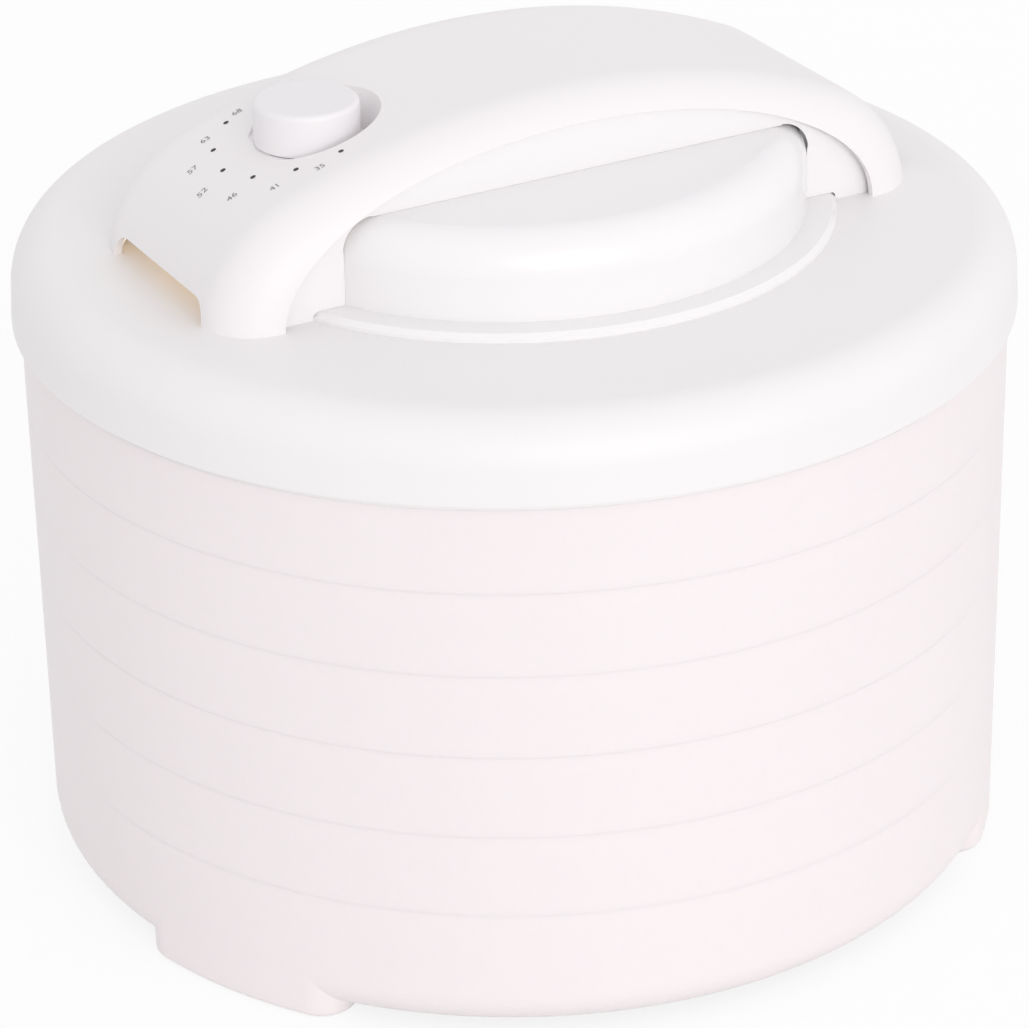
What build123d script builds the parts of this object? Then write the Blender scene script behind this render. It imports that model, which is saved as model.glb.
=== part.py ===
"""Round stacking food dehydrator: a base, five drying trays and a lift-off power head with a bridge.

Millimetres, +Z up. The origin is on the stack's axis at table level. X runs along the bridge with the
control knob at its -X end, and Y runs to the back.
"""
import os
from math import cos, pi, radians, sin, sqrt, tan

from build123d import *

# Stack of rings
RING_R = 167.0
WALL = 2.6
TRAY_COUNT = 5
TRAY_PITCH = 29.0
SEAM = 0.3
SPIGOT_T = 2.2
SPIGOT_RISE = 3.6
SPIGOT_PLAY = 0.5
SPIGOT_ROOT = 5.0
LEDGE_W = 7.4
LEDGE_T = 2.2
REST = 0.3

# Slatted grid in each tray
GRID_T = 2.5
GRID_PLAY = 0.4
GRID_BAR = 4.0
GRID_HUB_R = 16.0
GRID_RIM = 12.0
GRID_SLOT_COUNTS = (12, 24, 36)

# Base pan
FOOT_H = 3.5
BEND_R = 13.0
BASE_WALL_H = 31.5
FOOT_COUNT = 3
FOOT_ARC = 21.0
FOOT_TURN = -154.5
FOOT_DEPTH = 24.0
FOOT_EDGE = 2.5
VENT_COUNT = 8
VENT_R = 75.0
VENT_L = 70.0
VENT_W = 8.0

# Lid
LID_OVERHANG = 3.0
LID_WALL = 3.0
LID_GAP = 2.5
LID_DRAFT = 0.6
LID_SKIRT = 10.5
LID_ROUND_R = 15.0
LID_ROUND_H = 16.5
FAN_MOUTH_R = 58.0
BOSS_R = 4.5

# Lid's inner plate
PLATE_T = 2.5
PLATE_PLAY = 0.7
PLATE_RIB_T = 2.2
PLATE_RIB_H = 5.0
PLATE_SCREW_R = 135.0
PLATE_SCREWS = 4
PLATE_SCREW_ANGLE = 45.0

# Motor dome
DOME_R = 98.8
FLANGE_W = 10.2
FLANGE_T = 2.7
FLANGE_BEVEL = 1.6
DOME_H = 31.0
DOME_T = 2.5
DOME_ROUND_R = 12.0
DOME_ROUND_H = 13.5
INTAKE_L = 34.0
INTAKE_W = 6.0
INTAKE_STEP = 14.0
INTAKE_COLS = 6
INTAKE_ROW = 42.0

# Bridge over the dome
BRIDGE_REACH = 32.7
BRIDGE_HALF_W = 52.5
BRIDGE_RISE = 57.0
BRIDGE_TOP_R = 264.0
BRIDGE_SHOULDER = 45.0
BRIDGE_EDGE = 19.0
BRIDGE_SKIN = 2.6
SEAM_REACH = 11.2
SEAM_RISE = 48.0
NOTCH_W = 68.0
NOTCH_H = 8.0
NOTCH_CORNER = 7.5
BRIDGE_SCREW_Y = 38.0
BRIDGE_BOSS_R = 3.7
BRIDGE_BOSS_GAP = 3.7

# Panels that close the bridge's front and back
PANEL_SET = 4.5
PANEL_T = 2.5
PANEL_PLAY = 0.2
PANEL_RIM = 3.0
DOME_GAP = 0.4
PANEL_CORNER = 3.0

# Control
KNOB_X = -75.0
KNOB_R = 17.5
KNOB_H = 14.0
KNOB_WALL = 2.0
KNOB_EDGE = 1.8
KNOB_LIFT = 0.4
RECESS_R = 19.5
RECESS_DROP = 16.3
RECESS_WALL_ANGLE = 66.0
SPINDLE_R = 3.0
BUSH_R = 4.5
BUSH_PLAY = 0.1
BUSH_NUT_R = 6.5
BUSH_NUT_T = 2.0
BUSH_PROUD = 3.0
CONTROL_R = 14.0
CONTROL_H = 12.0
CONTROL_DROP = 2.4
CONTROL_ROOM = 3.0
KNOB_HUB_R = 5.5

# Shaft, bearings and motor
SHAFT_R = 3.0
RUN_FIT = 0.05
BEARING_R = 6.0
BEARING_H = 4.2
ROTOR_R = 12.0
AIR_GAP = 0.4
STACK_W = 60.0
STACK_FRONT = 16.0
STACK_BACK = 36.0
STACK_H = 14.0
LEG_D = 14.0
WINDOW_W = 32.0
WINDOW_D = 6.5
COIL_W = 28.0
COIL_BUILD = 5.0
COIL_PLAY = 0.2
BRACKET_W = 18.0
BRACKET_T = 1.5
BRACKET_RISE = 4.0
BRACKET_FOOT = 10.0
MOTOR_SCREW_X = 25.0
STRAP_W = 26.0
STRAP_T = 2.0
STRAP_SCREW_X = 66.0
STRAP_END = 6.0
STRAP_BORE_R = 9.0
MOTOR_LIFT = 6.5

# Fan
FAN_R = 53.0
FAN_HUB_R = 10.0
FAN_H = 12.0
FAN_BLADES = 7
BLADE_T = 1.6
ROOT_CHORD = 13.0
ROOT_PITCH = 48.0
TIP_CHORD = 22.0
TIP_PITCH = 24.0
FAN_DROP = 2.5
NUT_R = 5.0
NUT_H = 3.5

# Heater and guard
HEATER_R = 44.0
HEATER_TUBE_R = 3.2
HEATER_GAP_ANGLE = 30.0
HEATER_LIFT = 3.4
PIN_R = 1.5
PIN_L = 5.0
CARD_T = 1.2
CARD_COUNT = 4
CARD_IN = 37.0
CARD_OUT = 66.0
CARD_H = 7.4
CARD_PLAY = 0.15
SHIELD_IN = 70.0
SHIELD_CLEAR = 13.0
SHIELD_T = 0.8
CUTOUT_R = 6.0
CUTOUT_H = 8.0
CUTOUT_AT = 84.0
GUARD_R = 66.0
GUARD_T = 2.2
GUARD_HUB_R = 12.0
GUARD_BAR = 2.4
GUARD_RINGS = (24.0, 36.0, 48.0)
GUARD_SPOKES = 6
GUARD_SCREW_R = 62.0
GUARD_SCREWS = 3
GUARD_SCREW_ANGLE = 30.0

# Wiring hardware
BLOCK_L = 24.0
BLOCK_W = 15.0
BLOCK_H = 8.0
BLOCK_X = 62.0
BLOCK_WAYS = 3
GLAND_CLEAR = 3.9
GLAND_UP = 9.5
GLAND_R = 4.6
GLAND_PLAY = 0.1
GLAND_HEAD_R = 6.0
GLAND_HEAD_T = 2.0
GLAND_TAIL = 6.0
CORD_R = 3.2

# Screws
SCREW_R = 1.5
SCREW_HEAD_R = 3.2
SCREW_HEAD_H = 2.0
SCREW_PLAY = 0.25

# Levels and places worked out from the sizes above
BASE_TOP = FOOT_H + BEND_R + BASE_WALL_H
STACK_TOP = BASE_TOP + TRAY_COUNT * TRAY_PITCH
INNER_R = RING_R - WALL
SPIGOT_OUT = INNER_R - SPIGOT_PLAY
SPIGOT_IN = SPIGOT_OUT - SPIGOT_T
LEDGE_Z = SPIGOT_RISE + REST
GRID_Z = LEDGE_Z + LEDGE_T
PLATE_Z = STACK_TOP + SPIGOT_RISE + REST
PLATE_TOP = PLATE_Z + PLATE_T
LID_R = RING_R + LID_OVERHANG
LID_EDGE = STACK_TOP + LID_GAP
LID_TOP = LID_EDGE + LID_SKIRT + LID_ROUND_H
LID_UNDER = LID_TOP - LID_WALL
DOME_TOP = LID_TOP + DOME_H
BRIDGE_TOP = LID_TOP + BRIDGE_RISE
RECESS_Z = BRIDGE_TOP - RECESS_DROP
STRAP_Z = LID_TOP
STACK_Z = STRAP_Z + STRAP_T + MOTOR_LIFT
FAN_TOP = LID_TOP - FAN_DROP
FAN_Z = FAN_TOP - FAN_H
HEATER_Z = PLATE_TOP + HEATER_LIFT
PANEL_Y = BRIDGE_HALF_W - PANEL_SET
FLANGE_R = DOME_R + FLANGE_W
SEAM_HALF = DOME_R + SEAM_REACH
BRIDGE_HALF = DOME_R + BRIDGE_REACH
BRIDGE_SCREW_X = sqrt((FLANGE_R + BRIDGE_BOSS_GAP + BRIDGE_BOSS_R) ** 2 - BRIDGE_SCREW_Y**2)
GLAND_X = sqrt((DOME_R + DOME_GAP) ** 2 - PANEL_Y**2) + GLAND_CLEAR + GLAND_HEAD_R
HEATER_ARC = 360 - HEATER_GAP_ANGLE
SHIELD_OUT = PLATE_SCREW_R - SHIELD_CLEAR

os.makedirs("parts", exist_ok=True)


def keep(part, label):
    """Name a finished piece and write it."""
    part.label = label
    export_step(part, f"parts/{label}.step")


def upright(x):
    """Drawing plane through (x, 0), with its own X along the bridge and its own Y up."""
    return Plane(origin=(x, 0, 0), x_dir=(1, 0, 0), z_dir=(0, -1, 0))


def spigot_points(top):
    """Half-section of a ring wall's upper end: the shoulder and the stacking spigot that stands on it."""
    shoulder = top - SEAM / 2
    return [
        (RING_R, shoulder),
        (SPIGOT_OUT, shoulder),
        (SPIGOT_OUT, top + SPIGOT_RISE),
        (SPIGOT_IN, top + SPIGOT_RISE),
        (SPIGOT_IN, top - SPIGOT_ROOT),
        (INNER_R, top - SPIGOT_ROOT - (INNER_R - SPIGOT_IN)),
    ]


def tray_ring(bottom):
    """A tray's wall with its grid ledge near the bottom and the spigot for the next ring on top."""
    ledge = bottom + LEDGE_Z
    with BuildPart() as ring:
        with BuildSketch(Plane.XZ):
            with BuildLine():
                Polyline(
                    (INNER_R, bottom + SEAM / 2),
                    (RING_R, bottom + SEAM / 2),
                    *spigot_points(bottom + TRAY_PITCH),
                    (INNER_R, ledge + LEDGE_T),
                    (INNER_R - LEDGE_W, ledge + LEDGE_T),
                    (INNER_R - LEDGE_W, ledge),
                    (INNER_R, ledge),
                    close=True,
                )
            make_face()
        revolve(axis=Axis.Z)
    return ring.part


def tray_grid(bottom):
    """A flat disc with bands of tapered slots between straight bars, lying on the tray's ledge."""
    with BuildPart() as grid:
        with BuildSketch(Plane.XY.offset(bottom + GRID_Z)):
            Circle(INNER_R - GRID_PLAY)
            inner = GRID_HUB_R
            bands = len(GRID_SLOT_COUNTS)
            room = INNER_R - GRID_PLAY - GRID_RIM - GRID_HUB_R - (bands - 1) * GRID_BAR
            for count in GRID_SLOT_COUNTS:
                slope = tan(pi / count)
                bar = GRID_BAR / 2 / cos(pi / count)
                outer = inner + room / bands
                with PolarLocations(0, count):
                    Polygon(
                        (inner, inner * slope - bar),
                        (inner, bar - inner * slope),
                        (outer, bar - outer * slope),
                        (outer, outer * slope - bar),
                        align=None,
                        mode=Mode.SUBTRACT,
                    )
                inner = outer + GRID_BAR
        extrude(amount=GRID_T)
    return grid.part


def screw_group(spots, seat, length, up=1):
    """Pan-head screws as separate solids: heads against the seat, shanks running up or down from it."""
    with BuildPart() as screws:
        with BuildSketch(Plane.XY.offset(seat)):
            with Locations(*spots):
                Circle(SCREW_HEAD_R)
        extrude(amount=-up * SCREW_HEAD_H)
        with BuildSketch(Plane.XY.offset(seat)):
            with Locations(*spots):
                Circle(SCREW_R)
        extrude(amount=up * length)
    return screws.part


def ring_spots(radius, count, start=0.0):
    """Points spaced evenly on a circle."""
    angles = [radians(start + 360 * i / count) for i in range(count)]
    return [(radius * cos(a), radius * sin(a)) for a in angles]


def bridge_outline(inset):
    """The arch seen from the front, drawn in from its outer skin by the inset."""
    half = BRIDGE_HALF - inset
    top_r = BRIDGE_TOP_R - inset
    crown = BRIDGE_TOP - inset
    shoulder = crown - top_r + sqrt(top_r**2 - half**2)
    root = LID_TOP - BRIDGE_SHOULDER
    with BuildSketch(Plane.XZ) as outline:
        with BuildLine():
            Line((-half, root), (half, root))
            Line((half, root), (half, shoulder))
            ThreePointArc((half, shoulder), (0, crown), (-half, shoulder))
            Line((-half, shoulder), (-half, root))
        make_face()
        fillet(outline.vertices().group_by(Axis.Y)[-1], BRIDGE_SHOULDER - inset)
        with Locations((0, root)):
            Rectangle(2 * BRIDGE_HALF, 2 * BRIDGE_SHOULDER, mode=Mode.SUBTRACT)
    return outline.sketch


def arch_body(inset):
    """The bridge as a full body with softly rolled edges, drawn in from its skin by the inset."""
    with BuildPart() as body:
        extrude(bridge_outline(inset), amount=BRIDGE_HALF_W - inset, both=True)
        rim = body.faces().filter_by(Axis.Y).edges().filter_by(lambda e: e.center().Z > LID_TOP + REST)
        fillet(rim, BRIDGE_EDGE - inset)
    return body.part


def seam_outline(inset):
    """The half-oval where the shell ends and a panel closes the bridge, drawn in by the inset."""
    with BuildSketch(Plane.XZ) as outline:
        with Locations((0, LID_TOP)):
            Ellipse(SEAM_HALF - inset, SEAM_RISE - inset)
        with Locations((0, LID_TOP - SEAM_RISE)):
            Rectangle(4 * SEAM_HALF, 2 * SEAM_RISE, mode=Mode.SUBTRACT)
    return outline.sketch


def dome_outline(grow, square=0.0):
    """Half-section of the dome's outside with its flange.

    It is grown by a gap for what stands beside it, and its round corner can be made squarer.
    """
    round_r = DOME_ROUND_R - square
    round_h = DOME_ROUND_H - square
    round_z = DOME_TOP - round_h
    flat_r = DOME_R - round_r
    with BuildSketch(Plane.XZ) as outline:
        with BuildLine():
            Polyline(
                (0, DOME_TOP + grow),
                (0, LID_TOP),
                (FLANGE_R + grow, LID_TOP),
                (FLANGE_R + grow, LID_TOP + FLANGE_T - FLANGE_BEVEL + grow),
                (FLANGE_R - FLANGE_BEVEL + grow, LID_TOP + FLANGE_T + grow),
                (DOME_R + grow, LID_TOP + FLANGE_T + grow),
                (DOME_R + grow, round_z),
            )
            EllipticalCenterArc((flat_r, round_z), round_r + grow, round_h + grow)
            Line((flat_r, DOME_TOP + grow), (0, DOME_TOP + grow))
        make_face()
    return outline.sketch


# Base pan: a bowl on three round-nosed feet flush with its wall, with vents in its floor
with BuildPart() as base_feet:
    with BuildSketch():
        with PolarLocations(0, FOOT_COUNT, FOOT_TURN - FOOT_ARC / 2):
            SlotArc(CenterArc((0, 0), RING_R - FOOT_DEPTH / 2, 0, FOOT_ARC), FOOT_DEPTH)
    extrude(amount=FOOT_H + BEND_R)
    fillet(base_feet.faces().group_by(Axis.Z)[0].edges(), FOOT_EDGE)

with BuildPart() as base_pan:
    with BuildSketch(Plane.XZ):
        with BuildLine():
            Polyline((RING_R, FOOT_H + BEND_R), *spigot_points(BASE_TOP)[:4], (0, BASE_TOP + SPIGOT_RISE))
            Line((0, BASE_TOP + SPIGOT_RISE), (0, FOOT_H))
            Line((0, FOOT_H), (RING_R - BEND_R, FOOT_H))
            RadiusArc((RING_R - BEND_R, FOOT_H), (RING_R, FOOT_H + BEND_R), -BEND_R)
        make_face()
    revolve(axis=Axis.Z)
    add(base_feet.part)
    with BuildSketch(Plane.XZ):
        with BuildLine():
            floor_z = FOOT_H + WALL
            bend = BEND_R - WALL
            Line((0, floor_z), (RING_R - BEND_R, floor_z))
            RadiusArc((RING_R - BEND_R, floor_z), (INNER_R, floor_z + bend), -bend)
            Polyline((INNER_R, floor_z + bend), spigot_points(BASE_TOP)[5], spigot_points(BASE_TOP)[4])
            Polyline(
                (SPIGOT_IN, BASE_TOP - SPIGOT_ROOT),
                (SPIGOT_IN, BASE_TOP + SPIGOT_RISE),
                (0, BASE_TOP + SPIGOT_RISE),
                (0, floor_z),
            )
        make_face()
    revolve(axis=Axis.Z, mode=Mode.SUBTRACT)
    with BuildSketch(Plane.XY.offset(FOOT_H)):
        with PolarLocations(VENT_R, VENT_COUNT):
            SlotOverall(VENT_L, VENT_W)
    extrude(amount=WALL, mode=Mode.SUBTRACT)
keep(base_pan.part, "base_pan")

# Trays, numbered from the top of the stack down
for tray in range(TRAY_COUNT):
    tray_bottom = STACK_TOP - (tray + 1) * TRAY_PITCH
    keep(tray_ring(tray_bottom), f"tray_ring_{tray + 1}")
    keep(tray_grid(tray_bottom), f"tray_grid_{tray + 1}")

# Lid cover: a shallow bowl turned over, with bosses inside and a mouth for the fan
plate_spots = ring_spots(PLATE_SCREW_R, PLATE_SCREWS, PLATE_SCREW_ANGLE)
strap_spots = [(STRAP_SCREW_X, 0), (-STRAP_SCREW_X, 0)]
bridge_spots = [(i * BRIDGE_SCREW_X, j * BRIDGE_SCREW_Y) for i in (-1, 1) for j in (-1, 1)]
with BuildPart() as lid_cover:
    lid_bend = LID_EDGE + LID_SKIRT
    crown_r = LID_R - LID_DRAFT - LID_ROUND_R
    with BuildSketch(Plane.XZ):
        with BuildLine():
            Polyline((LID_R - LID_WALL, LID_EDGE), (LID_R, LID_EDGE), (LID_R - LID_DRAFT, lid_bend))
            EllipticalCenterArc((crown_r, lid_bend), LID_ROUND_R, LID_ROUND_H)
            Polyline(
                (crown_r, LID_TOP),
                (FAN_MOUTH_R, LID_TOP),
                (FAN_MOUTH_R, LID_UNDER),
                (crown_r, LID_UNDER),
            )
            EllipticalCenterArc((crown_r, lid_bend), LID_ROUND_R - LID_WALL, LID_ROUND_H - LID_WALL)
            Line((crown_r + LID_ROUND_R - LID_WALL, lid_bend), (LID_R - LID_WALL, LID_EDGE))
        make_face()
    revolve(axis=Axis.Z)
    with BuildSketch(Plane.XY.offset(PLATE_TOP)):
        with Locations(*plate_spots):
            Circle(BOSS_R)
    extrude(amount=LID_UNDER - PLATE_TOP)
    with BuildSketch(Plane.XY.offset(LID_UNDER)):
        with Locations(*strap_spots):
            Circle(BOSS_R)
    extrude(amount=-2 * LID_WALL)
    with BuildSketch(Plane.XY.offset(PLATE_TOP)):
        with Locations(*plate_spots):
            Circle(SCREW_R)
    extrude(amount=3 * LID_WALL, mode=Mode.SUBTRACT)
    with BuildSketch(Plane.XY.offset(LID_TOP)):
        with Locations(*strap_spots):
            Circle(SCREW_R)
    extrude(amount=-2.5 * LID_WALL, mode=Mode.SUBTRACT)
    with BuildSketch(Plane.XY.offset(LID_TOP)):
        with Locations(*bridge_spots):
            Circle(SCREW_R + SCREW_PLAY)
    extrude(amount=-LID_WALL, mode=Mode.SUBTRACT)
keep(lid_cover.part, "lid_cover")

# Inner plate: closes the lid from below, and its rib drops inside the top tray's spigot
guard_spots = ring_spots(GUARD_SCREW_R, GUARD_SCREWS, GUARD_SCREW_ANGLE)
plate_r = LID_R - LID_WALL - PLATE_PLAY
rib_r = SPIGOT_IN - SPIGOT_PLAY
with BuildPart() as lid_inner_plate:
    with BuildSketch(Plane.XZ):
        with BuildLine():
            Polyline(
                (FAN_MOUTH_R, PLATE_Z),
                (rib_r - PLATE_RIB_T, PLATE_Z),
                (rib_r - PLATE_RIB_T, PLATE_Z - PLATE_RIB_H),
                (rib_r, PLATE_Z - PLATE_RIB_H),
                (rib_r, PLATE_Z),
                (plate_r, PLATE_Z),
                (plate_r, PLATE_TOP),
                (FAN_MOUTH_R, PLATE_TOP),
                close=True,
            )
        make_face()
    revolve(axis=Axis.Z)
    with BuildSketch(Plane.XY.offset(PLATE_Z)):
        with Locations(*plate_spots):
            Circle(SCREW_R + SCREW_PLAY)
        with Locations(*guard_spots):
            Circle(SCREW_R)
    extrude(amount=PLATE_T, mode=Mode.SUBTRACT)
keep(lid_inner_plate.part, "lid_inner_plate")

# Motor dome: a drum with a bevelled flange on the lid, its intake slots hidden under the bridge
with BuildPart() as motor_dome:
    revolve(dome_outline(0), axis=Axis.Z)
    round_base = DOME_TOP - DOME_ROUND_H
    with BuildSketch(Plane.XZ):
        with BuildLine():
            inner_flat = DOME_R - DOME_ROUND_R
            Polyline(
                (0, DOME_TOP - DOME_T),
                (0, LID_TOP),
                (DOME_R - DOME_T, LID_TOP),
                (DOME_R - DOME_T, round_base),
            )
            EllipticalCenterArc((inner_flat, round_base), DOME_ROUND_R - DOME_T, DOME_ROUND_H - DOME_T)
            Line((inner_flat, DOME_TOP - DOME_T), (0, DOME_TOP - DOME_T))
        make_face()
    revolve(axis=Axis.Z, mode=Mode.SUBTRACT)
    with BuildSketch(Plane.XY.offset(DOME_TOP)):
        with GridLocations(INTAKE_STEP, INTAKE_ROW, INTAKE_COLS, 2):
            SlotOverall(INTAKE_L, INTAKE_W, rotation=90)
        with Locations((KNOB_X, 0)):
            Circle(CONTROL_R + CONTROL_ROOM)
    extrude(amount=-DOME_ROUND_H, mode=Mode.SUBTRACT)
keep(motor_dome.part, "motor_dome")

# Bridge shell: an arched skin with a level recess for the knob and an air notch under each end
recess_slope = tan(radians(RECESS_WALL_ANGLE))
recess_h = BRIDGE_TOP - RECESS_Z + KNOB_H
with BuildPart() as bridge_hollow:
    add(arch_body(BRIDGE_SKIN))
    with BuildSketch(Plane.XY.offset(LID_TOP)):
        with Locations(*bridge_spots):
            Circle(BRIDGE_BOSS_R)
    extrude(amount=BRIDGE_RISE, mode=Mode.SUBTRACT)
    with BuildSketch(upright(KNOB_X)):
        with BuildLine():
            skin_r = RECESS_R + BRIDGE_SKIN
            Polyline(
                (0, RECESS_Z - BRIDGE_SKIN),
                (skin_r, RECESS_Z - BRIDGE_SKIN),
                (skin_r + recess_h / recess_slope, RECESS_Z - BRIDGE_SKIN + recess_h),
                (0, RECESS_Z - BRIDGE_SKIN + recess_h),
                close=True,
            )
        make_face()
    revolve(axis=Axis((KNOB_X, 0, 0), (0, 0, 1)), mode=Mode.SUBTRACT)

window_y = BRIDGE_SCREW_Y + BRIDGE_BOSS_R + REST
with BuildPart() as bridge_windows:
    for side in (-1, 1):
        extrude(Pos(0, side * window_y, 0) * seam_outline(0), amount=side * (window_y - BRIDGE_HALF_W))

with BuildPart() as bridge_shell:
    add(arch_body(0))
    with BuildSketch(upright(KNOB_X)):
        with BuildLine():
            Polyline(
                (0, RECESS_Z),
                (RECESS_R, RECESS_Z),
                (RECESS_R + recess_h / recess_slope, RECESS_Z + recess_h),
                (0, RECESS_Z + recess_h),
                close=True,
            )
        make_face()
    revolve(axis=Axis((KNOB_X, 0, 0), (0, 0, 1)), mode=Mode.SUBTRACT)
    add(bridge_hollow.part, mode=Mode.SUBTRACT)
    add(bridge_windows.part, mode=Mode.SUBTRACT)
    with BuildSketch(Plane.YZ):
        with Locations((0, LID_TOP)):
            RectangleRounded(NOTCH_W, 2 * NOTCH_H, NOTCH_CORNER)
    extrude(amount=2 * BRIDGE_HALF, both=True, mode=Mode.SUBTRACT)
    with BuildSketch(Plane.XY.offset(RECESS_Z)):
        with Locations((KNOB_X, 0)):
            Circle(BUSH_R + BUSH_PLAY)
    extrude(amount=-BRIDGE_SKIN, mode=Mode.SUBTRACT)
    with BuildSketch(Plane.XY.offset(LID_TOP)):
        with Locations(*bridge_spots):
            Circle(SCREW_R)
    extrude(amount=4 * SCREW_HEAD_R, mode=Mode.SUBTRACT)
keep(bridge_shell.part, "bridge_shell")

# Panels: each fills one side of the arch behind the seam, cut clear of the dome and its flange
for label, side in (("bridge_front_panel", -1), ("bridge_rear_panel", 1)):
    with BuildPart() as panel:
        extrude(Pos(0, side * PANEL_Y, 0) * seam_outline(-PANEL_RIM), amount=side * PANEL_T)
        add(arch_body(BRIDGE_SKIN + PANEL_PLAY), mode=Mode.INTERSECT)
        extrude(Pos(0, side * PANEL_Y, 0) * seam_outline(PANEL_PLAY), amount=side * PANEL_T)
        revolve(dome_outline(DOME_GAP, PANEL_CORNER), axis=Axis.Z, mode=Mode.SUBTRACT)
        if side > 0:
            with BuildSketch(Plane.XZ.offset(-PANEL_Y)):
                with Locations((GLAND_X, LID_TOP + GLAND_UP)):
                    Circle(GLAND_R + GLAND_PLAY)
            extrude(amount=2 * PANEL_T, mode=Mode.SUBTRACT)
    keep(panel.part, label)

# Cord gland: a flanged bush in the rear panel
with BuildPart() as cord_gland:
    gland_plane = Plane(origin=(GLAND_X, PANEL_Y, LID_TOP + GLAND_UP), z_dir=(0, 1, 0))
    with BuildSketch(gland_plane):
        Circle(GLAND_HEAD_R)
        Circle(CORD_R, mode=Mode.SUBTRACT)
    extrude(amount=GLAND_HEAD_T)
    with BuildSketch(gland_plane):
        Circle(GLAND_R)
        Circle(CORD_R, mode=Mode.SUBTRACT)
    extrude(amount=-GLAND_TAIL)
keep(cord_gland.part, "cord_gland")

# Thermostat: a round body hung under the recess by its threaded bush and nut
control_plane = Plane.XY.offset(RECESS_Z - BRIDGE_SKIN)
with BuildPart() as thermostat_body:
    with BuildSketch(control_plane.offset(-CONTROL_DROP)):
        with Locations((KNOB_X, 0)):
            Circle(CONTROL_R)
    extrude(amount=-CONTROL_H)
    with BuildSketch(control_plane):
        with Locations((KNOB_X, 0)):
            Circle(BUSH_NUT_R)
    extrude(amount=-CONTROL_DROP)
    with BuildSketch(control_plane):
        with Locations((KNOB_X, 0)):
            Circle(BUSH_R)
    extrude(amount=BRIDGE_SKIN + BUSH_PROUD)
    with BuildSketch(control_plane.offset(BRIDGE_SKIN + BUSH_PROUD)):
        with Locations((KNOB_X, 0)):
            Circle(SPINDLE_R + RUN_FIT)
    extrude(amount=-BRIDGE_SKIN - BUSH_PROUD - CONTROL_DROP - CONTROL_H / 2, mode=Mode.SUBTRACT)
keep(thermostat_body.part, "thermostat_body")

with BuildPart() as thermostat_nut:
    with BuildSketch(Plane.XY.offset(RECESS_Z)):
        with Locations((KNOB_X, 0)):
            RegularPolygon(BUSH_NUT_R, 6)
            Circle(BUSH_R, mode=Mode.SUBTRACT)
    extrude(amount=BUSH_NUT_T)
keep(thermostat_nut.part, "thermostat_nut")

spindle_top = RECESS_Z + KNOB_LIFT + KNOB_H - 2 * KNOB_WALL
with BuildPart() as thermostat_spindle:
    with BuildSketch(Plane.XY.offset(spindle_top)):
        with Locations((KNOB_X, 0)):
            Circle(SPINDLE_R)
    extrude(amount=RECESS_Z - BRIDGE_SKIN - CONTROL_DROP - CONTROL_H / 2 + REST - spindle_top)
keep(thermostat_spindle.part, "thermostat_spindle")

# Control knob: a plain cap with a soft top edge, hollow below, its hub pressed on the spindle
with BuildPart() as control_knob:
    knob_z = RECESS_Z + KNOB_LIFT
    with BuildSketch(Plane.XY.offset(knob_z)):
        with Locations((KNOB_X, 0)):
            Circle(KNOB_R)
    extrude(amount=KNOB_H)
    fillet(control_knob.edges().sort_by(Axis.Z)[-1], KNOB_EDGE)
    with BuildSketch(Plane.XY.offset(knob_z)):
        with Locations((KNOB_X, 0)):
            Circle(KNOB_R - KNOB_WALL)
    extrude(amount=KNOB_H - KNOB_WALL, mode=Mode.SUBTRACT)
    with BuildSketch(Plane.XY.offset(knob_z + KNOB_H - KNOB_WALL)):
        with Locations((KNOB_X, 0)):
            Circle(KNOB_HUB_R)
    extrude(amount=BUSH_PROUD + 2 * REST - KNOB_LIFT - KNOB_H + KNOB_WALL)
    with BuildSketch(Plane.XY.offset(spindle_top)):
        with Locations((KNOB_X, 0)):
            Circle(SPINDLE_R)
    extrude(amount=-KNOB_H, mode=Mode.SUBTRACT)
keep(control_knob.part, "control_knob")

# Terminal block on the dome under the bridge
with BuildPart() as terminal_block:
    with BuildSketch(Plane.XY.offset(DOME_TOP)):
        with Locations((BLOCK_X, 0)):
            Rectangle(BLOCK_W, BLOCK_L)
    extrude(amount=BLOCK_H)
    with BuildSketch(Plane.XY.offset(DOME_TOP + BLOCK_H)):
        with Locations((BLOCK_X, 0)):
            with GridLocations(1, BLOCK_L / BLOCK_WAYS, 1, BLOCK_WAYS):
                Circle(SCREW_HEAD_R / 2)
    extrude(amount=-BLOCK_H / 2, mode=Mode.SUBTRACT)
keep(terminal_block.part, "terminal_block")

# Motor strap: a steel bar across the lid's mouth that carries the motor
motor_spots = [(MOTOR_SCREW_X, 0), (-MOTOR_SCREW_X, 0)]
with BuildPart() as motor_strap:
    with BuildSketch(Plane.XY.offset(STRAP_Z)):
        SlotOverall(2 * (STRAP_SCREW_X + STRAP_END), STRAP_W)
        Circle(STRAP_BORE_R, mode=Mode.SUBTRACT)
        with Locations(*strap_spots, *motor_spots):
            Circle(SCREW_R + SCREW_PLAY, mode=Mode.SUBTRACT)
    extrude(amount=STRAP_T)
keep(motor_strap.part, "motor_strap")

# Motor stack: laminations with the rotor's bore and a window that leaves a leg for the coil
bore_r = ROTOR_R + AIR_GAP
with BuildPart() as motor_stack:
    with BuildSketch(Plane.XY.offset(STACK_Z)):
        with Locations((0, (STACK_BACK - STACK_FRONT) / 2)):
            Rectangle(STACK_W, STACK_FRONT + STACK_BACK)
        Circle(bore_r, mode=Mode.SUBTRACT)
        with Locations((0, STACK_BACK - LEG_D - WINDOW_D / 2)):
            Rectangle(WINDOW_W, WINDOW_D, mode=Mode.SUBTRACT)
        with Locations(*motor_spots):
            Circle(SCREW_R + SCREW_PLAY, mode=Mode.SUBTRACT)
    extrude(amount=STACK_H)
keep(motor_stack.part, "motor_stack")

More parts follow.
